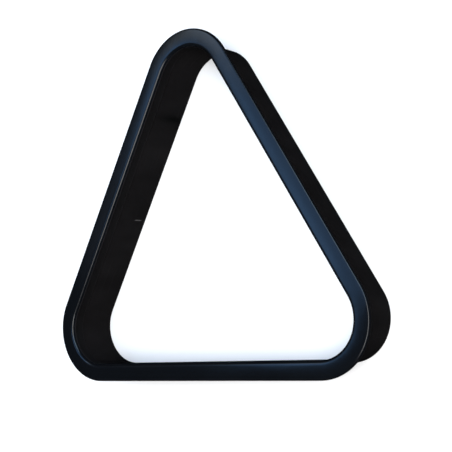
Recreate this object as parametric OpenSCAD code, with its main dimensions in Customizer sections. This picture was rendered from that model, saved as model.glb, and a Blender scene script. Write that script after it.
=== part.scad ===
// Triangle rack for gathering pool balls on the table.
// It lies as it is used: the wall stands on the cloth at z = 0, the wide rim is on top,
// the back bar runs along X and the apex points to +Y. Origin: middle of the base.
// The wall band is pushed up into the groove under the rim cap, where a bead holds it.

/* [Balls] */
// Diameter of the balls that the rack gathers
ball_d = 57.15; // [56:0.05:58]
// Rows of balls in the triangle
ball_rows = 5; // [4:1:6]
// Play between a corner ball and the wall around it
corner_play = 0.9; // [0.3:0.1:2]

/* [Wall band] */
// Radius of the wall's inner face round a corner
corner_r = 32.2; // [31:0.1:36]
// Thickness of the wall
wall_t = 3; // [2.4:0.1:4]
// Height of the whole rack
rack_h = 48; // [40:0.5:56]
// Rounding of the wall's lower edges
foot_r = 1; // [0.5:0.1:1.1]

/* [Rim cap] */
// How far the rim stands out over the wall's outer face
rim_out = 9.8; // [8:0.1:12]
// How far the rim stands in over the wall's inner face
rim_in = 1.8; // [1.6:0.1:3]
// Thickness of the rim's plate
rim_t = 2.4; // [2:0.1:2.8]
// Thickness of the rim's inner lip, which is deeper than the plate
lip_t = 3.8; // [3.7:0.1:6]
// Height of the crown in the middle of the rim's top face
crown = 0.1; // [0.05:0.05:0.2]
// Height of the rim's outer edge, from the top to under the skirt
skirt_h = 3.2; // [3:0.1:7]
// Thickness of the skirt
skirt_t = 2.4; // [2:0.1:3]
// Rounding of the rim's top outer edge
round_out = 1.6; // [1:0.1:2.2]
// Rounding of the rim's top inner edge
round_in = 3; // [1:0.1:3.1]
// Rounding of the rim's lower edges
round_low = 0.5; // [0.3:0.1:0.5]

/* [Groove and bead] */
// Depth of the collar inside the wall, measured from the top
collar_h = 12.9; // [8:0.1:14]
// Thickness of the collar inside the wall
collar_t = 0.8; // [0.8:0.1:1]
// Depth of the leg outside the wall, measured from the top
leg_h = 8; // [7.5:0.1:10]
// Thickness of the leg outside the wall
leg_t = 1.8; // [1.4:0.1:2.2]
// Height of the bead's middle above the leg's lower edge
bead_z = 1.6; // [1.4:0.1:2]
// Radius of the groove in the wall that takes the bead
bead_r = 0.6; // [0.4:0.05:0.7]
// Clearance between the wall and the sides of the groove
fit_gap = 0.05; // [0.02:0.01:0.1]

/* [Hidden] */
$fn = 96;
// Straight steps in a quarter round, and in the crown
bend_steps = 6;
crown_steps = 8;
// Corner centres: the wall's corner passes round the corner ball with the play that is asked
ball_reach = (ball_rows - 1) * ball_d / sqrt(3) + ball_d / 2;
centre_reach = ball_reach + corner_play - corner_r;
side = centre_reach * sqrt(3);
side_off = centre_reach / 2;
// The centroid stands nearer to the back bar than the middle of the base does
centroid_y = (side_off - centre_reach) / 2;
// Distances out from the lines between the corner centres
wall_out = corner_r + wall_t;
rim_low = corner_r - rim_in;
rim_far = wall_out + rim_out;
collar_out = corner_r - fit_gap;
collar_in = collar_out - collar_t;
leg_in = wall_out + fit_gap;
leg_out = leg_in + leg_t;
// Scale at which the straights and corners are joined
join_scale = 0.0001;
// Heights
plate_z = rack_h - rim_t;
lip_z = rack_h - lip_t;
edge_z = rack_h - crown;
skirt_z = rack_h - skirt_h;
collar_z = rack_h - collar_h;
leg_z = rack_h - leg_h;
snap_z = leg_z + bead_z;

// Points of a round from one angle to another, in steps of the same size
function bend(x, y, r, from, to, steps = bend_steps) =
  [for (i = [0:steps]) let(a = from + (to - from) * i / steps) [x + r * cos(a), y + r * sin(a)]];

// Points along the crowned top face, without its two ends
function crown_line(x_from, x_to) =
  [for (i = [1:crown_steps - 1]) let(t = i / crown_steps)
    [x_from + (x_to - x_from) * t, rack_h - crown * (2 * t - 1) * (2 * t - 1)]];

// Sections are drawn as distance out from the corner centres' triangle against height
cap_outline = concat(
  bend(rim_low + round_in, edge_z - round_in, round_in, 180, 90),
  crown_line(rim_low + round_in, rim_far - round_out),
  bend(rim_far - round_out, edge_z - round_out, round_out, 90, 0),
  bend(rim_far - round_low, skirt_z + round_low, round_low, 0, -90),
  [[rim_far - skirt_t, skirt_z], [rim_far - skirt_t, plate_z]],
  [[leg_out, plate_z], [leg_out, leg_z], [leg_in, leg_z]],
  bend(leg_in, snap_z, bead_r - fit_gap, 270, 90),
  [[leg_in, plate_z], [collar_out, plate_z], [collar_out, collar_z]],
  bend(collar_in + round_low, collar_z + round_low, round_low, 270, 180),
  [[collar_in, lip_z]],
  bend(rim_low + round_low, lip_z + round_low, round_low, 270, 180)
);
wall_outline = concat(
  [[corner_r, plate_z], [wall_out, plate_z]],
  bend(wall_out, snap_z, bead_r, 90, 270),
  bend(wall_out - foot_r, foot_r, foot_r, 0, -90),
  bend(corner_r + foot_r, foot_r, foot_r, 270, 180)
);

// Carries a section once round the rounded triangle: a straight and a corner, three times.
// The pieces are joined at a small scale, where their meeting faces fall together.
module around(outline) {
  scale(1 / join_scale)
    for (turn = [0, 120, 240])
      scale(join_scale)
        translate([0, centroid_y, 0])
          rotate(turn)
            translate([side / 2, -side_off, 0])
              rotate(-90) {
                rotate([90, 0, 0])
                  linear_extrude(height = side)
                    polygon(outline);
                rotate_extrude(angle = 120)
                  polygon(outline);
              }
}

// Wide top rim, moulded in one with its skirt, its collar inside the wall and its hidden leg
module rim_cap() {
  color([0.09, 0.11, 0.15])
    around(cap_outline);
}

// Thin wall that stands on the cloth and holds the balls together
module wall_band() {
  color([0.07, 0.065, 0.07])
    around(wall_outline);
}

rim_cap();
wall_band();
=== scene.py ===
# %% [markdown]
# # A triangle rack for pool balls
#
# The rack is black moulded plastic: a thin upright wall that stands on the cloth, under a wide
# rim with rounded edges. The designed model is loaded first and stays as it is. It holds the
# sizes, so every shape below takes its place from it.

# %% Load the designed model and keep its box
import math

import bpy
import numpy as np
from mathutils import Matrix, Vector


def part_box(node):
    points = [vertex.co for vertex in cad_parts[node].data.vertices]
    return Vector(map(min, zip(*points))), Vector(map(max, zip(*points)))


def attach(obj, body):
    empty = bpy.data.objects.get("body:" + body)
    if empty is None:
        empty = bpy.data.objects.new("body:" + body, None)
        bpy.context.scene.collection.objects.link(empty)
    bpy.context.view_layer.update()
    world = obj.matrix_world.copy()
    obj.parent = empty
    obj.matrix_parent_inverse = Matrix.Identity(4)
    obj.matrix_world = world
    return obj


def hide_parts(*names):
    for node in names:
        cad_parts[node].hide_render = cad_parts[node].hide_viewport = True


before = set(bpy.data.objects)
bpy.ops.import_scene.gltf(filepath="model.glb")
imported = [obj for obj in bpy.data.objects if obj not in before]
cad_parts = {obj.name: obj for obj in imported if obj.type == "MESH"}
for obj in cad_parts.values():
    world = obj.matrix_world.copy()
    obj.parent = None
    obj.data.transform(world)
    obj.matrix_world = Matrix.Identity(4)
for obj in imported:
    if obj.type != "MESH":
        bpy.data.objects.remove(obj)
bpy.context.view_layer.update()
print("designed nodes:", sorted(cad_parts))

# %% [markdown]
# ## The line that everything follows
#
# Every round corner of the rack turns about one of three points, and these points make an
# equilateral triangle. The rim and the wall are sections carried round that triangle: along its
# sides they keep their direction, and at its corners they swing through a third of a turn. The
# triangle can be found from the rim's box alone. Its width is one side and two reaches of the
# rim, its depth is one height of the triangle and the same two reaches, so their difference
# gives the side.

# %% Find the triangle of corner centres in the rim's box
mm = 0.001
rim_lo, rim_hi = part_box("rim_cap")
wall_lo, wall_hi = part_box("wall_band")
rim_wide, rim_deep = rim_hi.x - rim_lo.x, rim_hi.y - rim_lo.y
side = (rim_wide - rim_deep) / (1 - math.sqrt(3) / 2)
rim_far = (rim_wide - side) / 2
wall_out = (wall_hi.x - wall_lo.x - side) / 2
side_off = side / (2 * math.sqrt(3))
centroid_y = rim_lo.y + rim_far + side_off
top = rim_hi.z
print(f"side {side / mm:.2f} mm, rim reaches {rim_far / mm:.2f} mm, wall {wall_out / mm:.2f} mm")

# %% Sizes inside the section, as the rack was designed
wall_t = 3.0 * mm
rim_in = 1.8 * mm
rim_t = 2.4 * mm
lip_t = 3.8 * mm
crown = 0.1 * mm
skirt_h = 3.2 * mm
skirt_t = 2.4 * mm
collar_h = top - rim_lo.z
collar_t = 0.8 * mm
leg_h = 8.0 * mm
leg_t = 1.8 * mm
fit_gap = 0.05 * mm
wall_in = wall_out - wall_t
rim_low = wall_in - rim_in
plate_z = top - rim_t
print(f"rim {(rim_far - rim_low) / mm:.1f} mm wide, wall {wall_t / mm:.1f} mm thick")


# %% [markdown]
# ## A section carried along a path
#
# A sweep could be made with a curve object and a bevel profile, but then the corners and the
# section share one resolution. Here the surface is worked out as an array instead. A row of the
# array is the section, a column is the path, and the whole grid is one sum: the point on the
# triangle, plus the section's distance outwards, plus its height.

# %% The path round the rack
def ring_path(straight_steps, corner_steps, corner_marks=(), side_marks=()):
    """Points on the triangle of corner centres and the outward direction at each.

    Along a side the point moves and the direction stays; at a corner the point stays and the
    direction turns by 120 degrees. The path gets extra steps at the marks: angles in degrees
    from a corner's middle, and fractions of a side. The last value says how far each step
    stands from the nearest corner's middle, in degrees, with 60 along the sides."""
    points, outward, from_middle = [], [], []
    swing = np.union1d(np.linspace(-60, 60, corner_steps + 1), corner_marks)
    along = np.union1d(np.linspace(0, 1, straight_steps + 1)[1:-1], side_marks)
    for turn in range(3):
        middle, after = np.radians([-30 + 120 * turn, 90 + 120 * turn])
        corner = side / math.sqrt(3) * np.array([np.cos(middle), np.sin(middle)])
        following = side / math.sqrt(3) * np.array([np.cos(after), np.sin(after)])
        angle = middle + np.radians(swing)
        points.append(np.tile(corner, (len(swing), 1)))
        outward.append(np.stack([np.cos(angle), np.sin(angle)], 1))
        from_middle.append(swing)
        points.append(corner + (following - corner) * along[:, None])
        outward.append(np.tile(outward[-1][-1], (len(along), 1)))
        from_middle.append(np.full(len(along), 60.0))
    points = np.concatenate(points) + np.array([0, centroid_y])
    return points, np.concatenate(outward), np.concatenate(from_middle)


def path_length(points, outward, reach):
    """Distance travelled at each step of the path, measured at a reach from the triangle."""
    line = points + reach * outward
    steps = np.linalg.norm(np.roll(line, -1, 0) - line, axis=1)
    return np.concatenate([[0], np.cumsum(steps)])


# %% The section's rounds
def bend(reach, height, radius, start, end, steps=8):
    """Points of a round about (reach, height), from one angle to another in degrees."""
    angle = np.radians(np.linspace(start, end, steps + 1))
    return np.stack([reach + radius * np.cos(angle), height + radius * np.sin(angle)], 1)


def corner_point(reach, height):
    """One sharp corner of a section."""
    return np.array([[reach, height]])


def upright(reach, start, end, steps):
    """Points up or down an upright face, without its two ends."""
    heights = np.linspace(start, end, steps + 1)[1:-1]
    return np.stack([np.full(len(heights), reach), heights], 1)


def crown_line(start, end, steps=10):
    """The rim's top face: a parabola that is highest halfway, without its two ends."""
    t = np.linspace(0, 1, steps + 1)[1:-1]
    return np.stack([start + (end - start) * t, top - crown * (2 * t - 1) ** 2], 1)


# %% Carry a closed section round the path
def join_runs(*runs):
    """Joins runs of section points. Each run brings its finish: how worn its points are, which on
    the low edges under the rim's top is a painted highlight, and how far they belong to the
    coarse faces that aren't the rim's top, both from 0 to 1."""
    section = np.concatenate([points for points, _, _ in runs])
    worn_and_highlit, upright_share = (
        np.concatenate([np.full(len(run[0]), run[k]) for run in runs]) for k in (1, 2)
    )
    return section, {"edge_wear_and_highlight": worn_and_highlit, "side": upright_share}


def swept(name, section, finish, path, shift=0.0):
    """Makes a closed ring, with a vertex for each step of the path and each section point.

    A vertex is the path's point, plus its outward direction times the section's reach, plus the
    section's height. shift is added to the reach over the whole grid. finish holds one row of
    numbers for each attribute, or a grid. The UV map runs in metres: along the path, and round
    the section."""
    points, outward, _ = path
    n_path, n_section = len(points), len(section)
    reach = np.tile(section[:, 0], (n_path, 1)) + shift
    flat = points[:, None, :] + reach[..., None] * outward[:, None, :]
    height = np.tile(section[:, 1], (n_path, 1))
    grid = np.concatenate([flat, height[..., None]], 2)
    i, j = np.meshgrid(np.arange(n_path), np.arange(n_section), indexing="ij")
    i_next, j_next = (i + 1) % n_path, (j + 1) % n_section
    round_face = ((i, j), (i, j_next), (i_next, j_next), (i_next, j))
    faces = np.stack([step * n_section + place for step, place in round_face], -1)
    mesh = bpy.data.meshes.new(name)
    mesh.from_pydata(grid.reshape(-1, 3), [], faces.reshape(-1, 4))
    along = path_length(points, outward, float(section[:, 0].mean()))
    across = path_length(section, np.zeros_like(section), 0.0)
    u = np.stack([along[i], along[i], along[i + 1], along[i + 1]], -1)
    v = np.stack([across[j], across[j + 1], across[j + 1], across[j]], -1)
    layer = mesh.uv_layers.new(name="Along")
    layer.uv.foreach_set("vector", np.stack([u, v], -1).astype(np.float32).ravel())
    for attribute, values in finish.items():
        made = mesh.attributes.new(attribute, "FLOAT", "POINT")
        spread = np.broadcast_to(values, (n_path, n_section))
        made.data.foreach_set("value", spread.astype(np.float32).ravel())
    piece = bpy.data.objects.new(name, mesh)
    bpy.context.scene.collection.objects.link(piece)
    mesh.shade_smooth()
    mesh.set_sharp_from_angle(angle=math.radians(40))
    print(f"{name}: {len(mesh.vertices)} points, {len(mesh.polygons)} faces")
    return piece


# %% [markdown]
# ## The rim
#
# On the real rack the rim is one moulding with softly rounded edges and a face that is a little
# higher in the middle. Hands and cues rub its edges, so they are smoother than the rest. Its
# skirt hides the hollow underneath, where a leg and a collar hold the wall between them. The
# low edges of the skirt and the collar are painted paler, as a highlight line. The finish of an
# edge is spread over the face beside it, up to the next point of the section, so an extra point
# just past the low edges keeps their painted highlight narrow.

# %% The rim's section, going outwards over the top and back underneath
round_out, round_in, round_low, root = 1.6 * mm, 3.0 * mm, 0.5 * mm, 0.6 * mm
# Each low edge gets an extra point just past it, which keeps its painted highlight narrow.
low_highlight_end = 1.6 * round_low
edge_z, lip_z = top - crown, top - lip_t
skirt_z, collar_z, leg_z = top - skirt_h, top - collar_h, top - leg_h
collar_out = wall_in - fit_gap
collar_in = collar_out - collar_t
leg_in = wall_out + fit_gap
leg_out = leg_in + leg_t
skirt_in = rim_far - skirt_t
# The wear given to the low edges of the skirt and the collar paints a pale highlight line.
rim_section, rim_finish = join_runs(
    (bend(rim_low + round_in, edge_z - round_in, round_in, 180, 171, 1), 0.6, 1.0),
    (bend(rim_low + round_in, edge_z - round_in, round_in, 162, 91, 12), 1.0, 0.0),
    (crown_line(rim_low + round_in, rim_far - round_out), 0.0, 0.0),
    (bend(rim_far - round_out, edge_z - round_out, round_out, 88, 24, 6), 1.0, 0.0),
    (bend(rim_far - round_out, edge_z - round_out, round_out, 12, 0, 1), 0.3, 0.3),
    (corner_point(rim_far, skirt_z + low_highlight_end), 0.0, 0.3),
    (bend(rim_far - round_low, skirt_z + round_low, round_low, 0, -90, 4), 1.0, 0.8),
    (bend(skirt_in + round_low, skirt_z + round_low, round_low, -90, -180, 4), 0.2, 1.0),
    (bend(skirt_in - root, plate_z - root, root, 0, 90, 4), 0.0, 1.0),
    (bend(leg_out + root, plate_z - root, root, 90, 180, 4), 0.0, 1.0),
    (bend(leg_out - root, leg_z + root, root, 0, -90, 4), 0.0, 1.0),
    (corner_point(leg_in, leg_z), 0.0, 1.0),
    (corner_point(leg_in, plate_z), 0.0, 1.0),
    (corner_point(collar_out, plate_z), 0.0, 1.0),
    (corner_point(collar_out, collar_z), 0.2, 1.0),
    (bend(collar_in + round_low, collar_z + round_low, round_low, -90, -180, 4), 1.0, 1.0),
    (corner_point(collar_in, collar_z + low_highlight_end), 0.0, 1.0),
    (corner_point(collar_in, lip_z), 0.0, 1.0),
    (bend(rim_low + round_low, lip_z + round_low, round_low, -90, -180, 4), 0.3, 1.0),
)
print("rim section points:", len(rim_section))

# %% The rim, carried round
rim_path = ring_path(straight_steps=60, corner_steps=40)
rim = swept("rim_moulding", rim_section, rim_finish, rim_path)
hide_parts("rim_cap")
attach(rim, "root")

# %% [markdown]
# ## The wall
#
# The wall is a plain upright band. Where the two halves of its mould met, a hair-thin line
# stands on each outer corner. One short nick runs up the inner face near the foot of the left
# side, where something sharp once caught it, and nearer to the apex an upright patch is painted
# darker. The band is a sweep too. The line and the nick are small changes to the reach of its
# faces, so both have a shape and aren't only drawn on. The dark patch has no depth: it is a
# number at each point, which the wall's material reads. The path has a few close steps at all
# three.

# %% The wall's section and the path's close steps
foot_r = 1.0 * mm
wall_section, wall_finish = join_runs(
    (bend(wall_in + foot_r, foot_r, foot_r, 270, 180, 6), 1.0, 1.0),
    (upright(wall_in, foot_r, plate_z, 36), 0.0, 1.0),
    (corner_point(wall_in, plate_z), 0.0, 1.0),
    (corner_point(wall_out, plate_z), 0.0, 1.0),
    (upright(wall_out, plate_z, foot_r, 12), 0.0, 1.0),
    (bend(wall_out - foot_r, foot_r, foot_r, 0, -90, 6), 1.0, 1.0),
)
line_high, line_degrees = 0.12 * mm, 0.35
nick_deep, nick_wide = 0.35 * mm, 0.36 * mm
nick_at, nick_middle, nick_half = 0.6, 9.5 * mm, 3.9 * mm
# An upright patch inside the left side, which the material paints darker.
dark_patch_at, dark_patch_wide, dark_patch_middle, dark_patch_half = 0.173, 3.0 * mm, 10.0 * mm, 17.0 * mm
close = np.array([-3.0, -1.6, -1.0, -0.5, 0.0, 0.5, 1.0, 1.6, 3.0])
side_marks = np.concatenate([
    nick_at + close * nick_wide / side,
    dark_patch_at + close * dark_patch_wide / side,
])
wall_path = ring_path(60, 40, close * line_degrees, side_marks)

# %% The mould line, the nick and the dark patch as grids of numbers
points, _, from_middle = wall_path
reach, height = wall_section.T
outside = (reach > (wall_in + wall_out) / 2) & (height < leg_z)
rise = line_high * np.exp(-((from_middle / line_degrees) ** 2))[:, None] * outside
apex_centre = np.array([0, centroid_y + side / math.sqrt(3)])
left_centre = np.array([-side / 2, centroid_y - side_off])
inside = (reach < wall_in + 0.1 * mm) & (height < plate_z)


def inner_mark(at, wide, middle, half, power):
    """An upright mark inside the left side: 1 in its middle, falling to 0 across and along.

    It is a bell over the distance across, times a bell over the height. A higher power makes
    the second bell flatter on top, with steeper ends."""
    mark_point = apex_centre + (left_centre - apex_centre) * at
    away = np.linalg.norm(points - mark_point, axis=1)
    along_share = np.exp(-(np.abs((height - middle) / half) ** power)) * inside
    return np.exp(-((away / wide) ** 2))[:, None] * along_share


nick = inner_mark(nick_at, nick_wide, nick_middle, nick_half, 6)
dark_patch = inner_mark(dark_patch_at, dark_patch_wide, dark_patch_middle, dark_patch_half, 2)
print("deepest point of the nick in mm:", round(nick_deep * nick.max() / mm, 2))

# %% The wall, carried round
wall_finish["nick"], wall_finish["dark_patch"] = nick, dark_patch
wall = swept("wall_moulding", wall_section, wall_finish, wall_path, rise + nick * nick_deep)
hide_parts("wall_band")
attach(wall, "root")


# %% [markdown]
# ## Writing a material as a sum
#
# A procedural material is a graph of nodes, and its arithmetic is hard to read as links. The
# small class below holds one socket, so that adding, subtracting and multiplying write the Math
# nodes. Every other node comes from one method, which takes the node's type, its settings, and
# what goes into its sockets.

# %% Sockets that can be added and multiplied
class Field:
    """A number that changes over a surface."""

    def __init__(self, plan, socket):
        self.plan, self.socket = plan, socket

    def _math(self, operation, first, second):
        return self.plan.node("ShaderNodeMath", {"operation": operation}, {0: first, 1: second})

    def __add__(self, other):
        return self._math("ADD", self, other)

    def __sub__(self, other):
        return self._math("SUBTRACT", self, other)

    def __rsub__(self, other):
        return self._math("SUBTRACT", other, self)

    def __mul__(self, other):
        return self._math("MULTIPLY", self, other)

    __radd__, __rmul__ = __add__, __mul__


class Plan:
    """The nodes of one material."""

    def __init__(self, name):
        self.material = bpy.data.materials.new(name)
        self.material.use_nodes = True
        self.tree = self.material.node_tree
        self.shader = self.tree.nodes["Principled BSDF"]

    def node(self, kind, settings=None, inputs=None, output=0):
        """Adds a node of any type: its settings first, then the values or links of its sockets."""
        made = self.tree.nodes.new(kind)
        for setting, value in (settings or {}).items():
            setattr(made, setting, value)
        for key, value in (inputs or {}).items():
            if isinstance(value, Field):
                self.tree.links.new(value.socket, made.inputs[key])
            else:
                made.inputs[key].default_value = value
        return Field(self, made.outputs[output])

    def feed(self, **sockets):
        """Gives the surface its values: numbers are set, fields are linked."""
        for key, value in sockets.items():
            target = self.shader.inputs[key.replace("_", " ")]
            if isinstance(value, Field):
                self.tree.links.new(value.socket, target)
            else:
                target.default_value = value

    def noise(self, place, scale, detail=2.0, stretch=(1.0, 1.0, 1.0), shift=(0.0, 0.0, 0.0)):
        """A noise from 0 to 1, about half on average; scale is in grains a metre."""
        mapped = self.node("ShaderNodeMapping", {}, {0: place, "Scale": stretch, "Location": shift})
        return self.node("ShaderNodeTexNoise", {}, {0: mapped, "Scale": scale, "Detail": detail})

    def between(self, value, low, high):
        """0 below low, 1 above high, and a smooth rise from one to the other."""
        settings = {"interpolation_type": "SMOOTHSTEP"}
        return self.node("ShaderNodeMapRange", settings, {0: value, 1: low, 2: high})

    def blend(self, factor, start, end):
        """A colour between two colours."""
        return self.node("ShaderNodeMix", {"data_type": "RGBA"}, {0: factor, 6: start, 7: end}, 2)


# %% [markdown]
# ## Satin plastic for the rim
#
# The rim is black with a little blue in it. Its face has a broad, uneven shine: faint clouds
# where hands have greased it, hairlines along the rim from sliding in and out of a shelf, and
# edges polished by use. Its collar and everything underneath come off coarse mould faces like
# the wall's, so they are dull, and their low edges are painted paler as a highlight line. An
# attribute says how far each point belongs to those faces, and takes the colour and the
# roughness over to theirs.

# %% The rim's finish
face_black, face_blue = (0.0022, 0.0027, 0.0036, 1.0), (0.0038, 0.0046, 0.0058, 1.0)
# The second colour of the sides is a painted highlight, pale along their low edges.
side_black, side_highlight = (0.0036, 0.0030, 0.0035, 1.0), (0.0150, 0.0132, 0.0145, 1.0)
satin, dull_extra = 0.17, 0.53
plan = Plan("rim_plastic_satin")
place = plan.node("ShaderNodeTexCoord", output=3)
flat_map = plan.node("ShaderNodeUVMap", {"uv_map": "Along"})
edge_wear_and_highlight = plan.node("ShaderNodeAttribute", {"attribute_name": "edge_wear_and_highlight"}, output=2)
on_side = plan.node("ShaderNodeAttribute", {"attribute_name": "side"}, output=2)
clouds = plan.noise(place, 22.0, 3.0)
grain = plan.noise(place, 2600.0, 2.0)
ripple = plan.noise(place, 60.0, 1.0, shift=(3.1, 0.4, 1.7))
hairs = plan.between(plan.noise(flat_map, 1300.0, 1.0, stretch=(0.03, 1.0, 1.0)), 0.66, 0.76)
rubbed = edge_wear_and_highlight * plan.between(clouds, 0.42, 0.62)
face_colour = plan.blend(clouds * 0.6 + rubbed * 0.4, face_black, face_blue)
# Under the rim's top, the wear number paints that highlight onto the low edges.
side_colour = plan.blend(clouds * 0.12 + edge_wear_and_highlight * 0.85, side_black, side_highlight)
face_rough = satin + (clouds - 0.5) * 0.10 + (grain - 0.5) * 0.05 + hairs * 0.02 - rubbed * 0.05
plan.feed(
    Base_Color=plan.blend(on_side, face_colour, side_colour),
    Roughness=face_rough + on_side * dull_extra,
    Specular_IOR_Level=0.5,
)
relief = grain * 0.35 + ripple * 6.0 + hairs * -0.03
bump = plan.node("ShaderNodeBump", {}, {"Strength": 0.5, "Distance": 0.03 * mm, "Height": relief})
plan.feed(Normal=bump)
rim.data.materials.append(plan.material)
print("rim finish:", len(plan.tree.nodes), "nodes")

# %% [markdown]
# ## Matt plastic for the wall
#
# The wall came off a coarser face of the mould, so it is duller and drinks the light. Its lower
# edge slides on the cloth and is worn a little paler, and balls have left faint rubs across the
# inside. The dark patch is painted darker and made duller than the plastic around it. The nick
# is a real dent, and its pale colour is a painted glint, the palest spot of all.

# %% The wall's finish
wall_black, wall_grey = (0.0049, 0.0041, 0.0046, 1.0), (0.0088, 0.0076, 0.0083, 1.0)
# The first colour darkens the upright patch. The second is a painted glint in the nick.
dark_patch_black, nick_glint_pale = (0.0008, 0.0008, 0.0008, 1.0), (0.09, 0.085, 0.085, 1.0)
matt = 0.60
plan = Plan("wall_plastic_matt")
place = plan.node("ShaderNodeTexCoord", output=3)
flat_map = plan.node("ShaderNodeUVMap", {"uv_map": "Along"})
edge_wear_and_highlight = plan.node("ShaderNodeAttribute", {"attribute_name": "edge_wear_and_highlight"}, output=2)
nick_glint = plan.node("ShaderNodeAttribute", {"attribute_name": "nick"}, output=2)
dark_patch_share = plan.node("ShaderNodeAttribute", {"attribute_name": "dark_patch"}, output=2)
clouds = plan.noise(place, 38.0, 3.0, stretch=(1.0, 1.0, 0.4), shift=(0.7, 2.2, 0.1))
grain = plan.noise(place, 1500.0, 3.0)
rubs = plan.between(plan.noise(flat_map, 420.0, 1.0, stretch=(0.05, 1.0, 1.0)), 0.62, 0.74)
scuffed = edge_wear_and_highlight * plan.between(plan.noise(place, 240.0, 2.0), 0.45, 0.65)
plastic = plan.blend(clouds * 1.6 - 0.5 + rubs * 0.15 + scuffed * 0.5, wall_black, wall_grey)
# Darker in the upright patch inside the left side.
plastic = plan.blend(dark_patch_share, plastic, dark_patch_black)
wall_rough = matt + (clouds - 0.5) * 0.2 + (grain - 0.5) * 0.1 - rubs * 0.08 - scuffed * 0.12
plan.feed(
    # Pale in the nick: a painted glint.
    Base_Color=plan.blend(nick_glint, plastic, nick_glint_pale),
    Roughness=wall_rough + dark_patch_share * 0.25,
    Specular_IOR_Level=0.30,
)
relief = grain * 1.0 + rubs * -0.2
bump = plan.node("ShaderNodeBump", {}, {"Strength": 0.6, "Distance": 0.05 * mm, "Height": relief})
plan.feed(Normal=bump)
wall.data.materials.append(plan.material)
print("wall finish:", len(plan.tree.nodes), "nodes")

# %% [markdown]
# ## The floor and the light
#
# The rack lies on a plain white floor. A white sky lights everything evenly but leaves no
# reflection, so the black stays black, and a broad lamp beside the camera keeps the shadows
# behind the rack. Level panels under the ceiling are there to be seen in the plastic. The rim's
# face mirrors a bluish one on the left with a brighter strip across it, a whiter one beyond the
# apex and a faint one further left. Its rounded edges catch a white and a pale blue one on the
# right.

# %% The floor
def floor_plane(name, half):
    """A flat square of the given half width, just at the surface that the wall stands on."""
    mesh = bpy.data.meshes.new(name)
    corners = [(-half, -half, 0), (half, -half, 0), (half, half, 0), (-half, half, 0)]
    mesh.from_pydata(corners, [], [(0, 1, 2, 3)])
    made = bpy.data.objects.new(name, mesh)
    bpy.context.scene.collection.objects.link(made)
    return made


floor_half, floor_white = 6.0, (0.86, 0.86, 0.86, 1.0)
floor = floor_plane("floor", floor_half)
plan = Plan("floor_paint")
plan.feed(Base_Color=floor_white, Roughness=0.9, Specular_IOR_Level=0.1)
floor.data.materials.append(plan.material)
floor.visible_glossy = False

# %% The sky
world = bpy.data.worlds.new("studio")
bpy.context.scene.world = world
world.use_nodes = True
sky = world.node_tree.nodes["Background"]
sky.inputs["Color"].default_value = (1.0, 1.0, 1.0, 1.0)
sky.inputs["Strength"].default_value = 0.62
world.cycles_visibility.glossy = False


# %% The lamp that keeps the shadows back
def area_lamp(name, width, depth, power, colour):
    """A rectangular soft lamp."""
    lamp = bpy.data.lights.new(name, "AREA")
    lamp.shape, lamp.size, lamp.size_y = "RECTANGLE", width, depth
    lamp.energy, lamp.color = power, colour
    held = bpy.data.objects.new(name, lamp)
    bpy.context.scene.collection.objects.link(held)
    return held


side_lamp = area_lamp("camera_side_lamp", 0.7, 0.7, 22.0, (1.0, 1.0, 1.0))
lamp_away = Vector((0.96, -0.12, 1.28))
side_lamp.location = Vector((0, centroid_y, top)) + lamp_away
side_lamp.rotation_mode = "QUATERNION"
side_lamp.rotation_quaternion = (-lamp_away).to_track_quat("-Z", "Y")
side_lamp.visible_glossy = False


# %% The panels that the plastic mirrors
def ceiling_panel(name, middle, width, depth, turn, glow, colour, height=1.2):
    """A level panel above the rim, turned by an angle in degrees; glow is its brightness. Two
    panels that overlap need different heights, or only one of them is seen in the mirror."""
    held = area_lamp(name, width, depth, glow * math.pi * width * depth, colour)
    held.location = (*middle, top + height)
    held.rotation_euler = (0, 0, math.radians(turn))
    print(f"{name}: {width:.2f} by {depth:.2f} m, {held.data.energy:.1f} W")


ceiling_panel("blue_panel", (-0.603, 0.438), 0.68, 1.00, 12.0, 1.35, (0.24, 0.51, 1.0))
ceiling_panel("bright_strip", (-0.842, 0.188), 0.20, 0.66, 30.0, 1.20, (0.24, 0.52, 1.0), 1.18)
ceiling_panel("apex_panel", (-0.90, 0.705), 0.36, 0.34, 12.0, 1.05, (1.0, 1.0, 0.86), 1.22)
ceiling_panel("left_panel", (-1.22, 0.30), 0.34, 0.56, -27.0, 0.17, (0.66, 0.76, 1.0))
ceiling_panel("white_edge_panel", (0.33, -0.34), 0.56, 0.92, 0.0, 4.2, (0.97, 0.98, 1.0))
ceiling_panel("blue_edge_panel", (0.33, 0.61), 0.56, 0.98, 0.0, 4.4, (0.52, 0.74, 1.0))

# %% [markdown]
# ## The camera
#
# It starts straight above the rack, looking down with the apex at the top of the picture. Then
# it is swung to the right, so that the inside of the left wall and the outside of the right wall
# come into view, tipped a little towards the back bar, and leaned.

# %% The camera
swing, tip, lean = math.radians(38.16), math.radians(5.25), math.radians(-2.88)
turned = (
    Matrix.Rotation(swing, 3, "Y") @ Matrix.Rotation(tip, 3, "X") @ Matrix.Rotation(lean, 3, "Z")
)
aim, camera_away = Vector((34.0 * mm, centroid_y + 10.0 * mm, top)), 0.78
lens = bpy.data.cameras.new("camera")
lens.lens, lens.sensor_width = 79.9, 36.0
camera = bpy.data.objects.new("camera", lens)
bpy.context.scene.collection.objects.link(camera)
camera.location = aim + turned @ Vector((0, 0, camera_away))
camera.rotation_mode = "QUATERNION"
camera.rotation_quaternion = turned.to_quaternion()
bpy.context.scene.camera = camera
bpy.context.scene.view_settings.view_transform = "Standard"
print("camera at", [round(x, 3) for x in camera.location])

# %% [markdown]
# ## The last update
#
# The view layer is brought up to date once more.

# %% Finish
bpy.context.view_layer.update()
